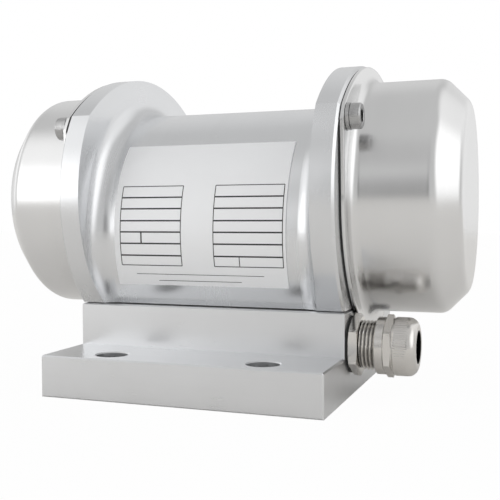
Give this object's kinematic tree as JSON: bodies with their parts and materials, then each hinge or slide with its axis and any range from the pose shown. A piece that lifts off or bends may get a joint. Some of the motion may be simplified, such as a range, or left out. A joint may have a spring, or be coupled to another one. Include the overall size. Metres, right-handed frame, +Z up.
{
  "type": "vibration motor",
  "caption": "Stainless unbalance vibration motor: a base block with foot holes, an arched housing between flanges, drawn covers over eccentric weights and a cable gland.",
  "frame": {"origin": "centre of the base block's underside", "axes": "+X along the shaft towards the end with the cable gland, -Y towards the front with the rating plate, +Z up"},
  "size_m": [0.206, 0.162, 0.138],
  "materials": {
    "milled_steel": "satin",
    "drawn_stainless": "satin",
    "ground_steel": "satin",
    "screw_steel": "satin",
    "weight_steel": "matt",
    "electrical_steel": "matt",
    "nickel_plated_brass": "satin",
    "plain_brass": "satin",
    "winding_copper": "gloss",
    "cast_aluminium": "matt",
    "label_sheet": "satin",
    "black_rubber": "matt",
    "gasket_sheet": "matt",
    "lead_insulation": "satin",
    "terminal_plastic": "matt",
    "cage_plastic": "matt",
    "slip_ring_plastic": "matt"
  },
  "bodies": {
    "stator_unit": {"base_block": "milled_steel", "motor_housing": "milled_steel", "housing_gasket": "gasket_sheet", "housing_screws": "screw_steel", "rating_plate": "label_sheet", "stator_core": "electrical_steel", "stator_windings": "winding_copper", "stator_leads": "lead_insulation", "terminal_block": "terminal_plastic", "terminal_screws": "plain_brass", "earth_screw": "plain_brass", "gland_body": "nickel_plated_brass", "gland_o_ring": "black_rubber", "gland_seal": "black_rubber", "left_end_shield": "milled_steel", "left_shield_screws": "screw_steel", "left_bearing_outer_ring": "ground_steel", "left_bearing_clip": "screw_steel", "left_cover": "drawn_stainless", "left_cover_gasket": "gasket_sheet", "left_cover_screws": "screw_steel", "left_cover_washers": "drawn_stainless", "right_end_shield": "milled_steel", "right_shield_screws": "screw_steel", "right_bearing_outer_ring": "ground_steel", "right_bearing_clip": "screw_steel", "right_cover": "drawn_stainless", "right_cover_gasket": "gasket_sheet", "right_cover_screws": "screw_steel", "right_cover_washers": "drawn_stainless"},
    "rotor": {"shaft": "ground_steel", "rotor_core": "electrical_steel", "rotor_cage": "cast_aluminium", "left_bearing_inner_ring": "ground_steel", "left_bearing_spacer": "ground_steel", "left_fixed_weight": "weight_steel", "left_weight_key": "ground_steel", "left_shaft_washer": "ground_steel", "left_shaft_nut": "screw_steel", "right_bearing_inner_ring": "ground_steel", "right_bearing_spacer": "ground_steel", "right_fixed_weight": "weight_steel", "right_weight_key": "ground_steel", "right_shaft_washer": "ground_steel", "right_shaft_nut": "screw_steel"},
    "left_ball_set": {"left_bearing_balls": "ground_steel", "left_bearing_cage": "cage_plastic"},
    "right_ball_set": {"right_bearing_balls": "ground_steel", "right_bearing_cage": "cage_plastic"},
    "left_adjuster": {"left_adjustable_weight": "weight_steel", "left_clamp_screw": "screw_steel"},
    "right_adjuster": {"right_adjustable_weight": "weight_steel", "right_clamp_screw": "screw_steel"},
    "gland_ring": {"gland_slip_ring": "slip_ring_plastic"},
    "gland_cap": {"gland_nut": "nickel_plated_brass"}
  },
  "joints": [
    {"name": "shaft_spin", "type": "hinge", "parent": "stator_unit", "child": "rotor", "pos_m": [0, 0, 0.081], "axis": [1, 0, 0], "continuous": true},
    {"name": "left_ball_spin", "type": "hinge", "parent": "stator_unit", "child": "left_ball_set", "pos_m": [-0.05, 0, 0.081], "axis": [1, 0, 0], "continuous": true},
    {"name": "right_ball_spin", "type": "hinge", "parent": "stator_unit", "child": "right_ball_set", "pos_m": [0.05, 0, 0.081], "axis": [1, 0, 0], "continuous": true},
    {"name": "left_weight_turn", "type": "hinge", "parent": "rotor", "child": "left_adjuster", "pos_m": [-0.0783, 0, 0.081], "axis": [1, 0, 0], "range_deg": [0, 180]},
    {"name": "right_weight_turn", "type": "hinge", "parent": "rotor", "child": "right_adjuster", "pos_m": [0.0783, 0, 0.081], "axis": [1, 0, 0], "range_deg": [0, 180]},
    {"name": "gland_ring_slide", "type": "slide", "parent": "stator_unit", "child": "gland_ring", "axis": [1, 0, 0], "range_m": [0, 0.003]},
    {"name": "gland_nut_turn", "type": "hinge", "parent": "gland_ring", "child": "gland_cap", "pos_m": [0.078, -0.0365, 0.021], "axis": [1, 0, 0], "range_deg": [0, 720]}
  ],
  "couplings": [
    {"joint": "left_ball_spin", "follows": "shaft_spin", "ratio": 0.3816},
    {"joint": "right_ball_spin", "follows": "shaft_spin", "ratio": 0.3816},
    {"joint": "gland_ring_slide", "follows": "gland_nut_turn", "m_per_rad": 0.0002387}
  ]
}
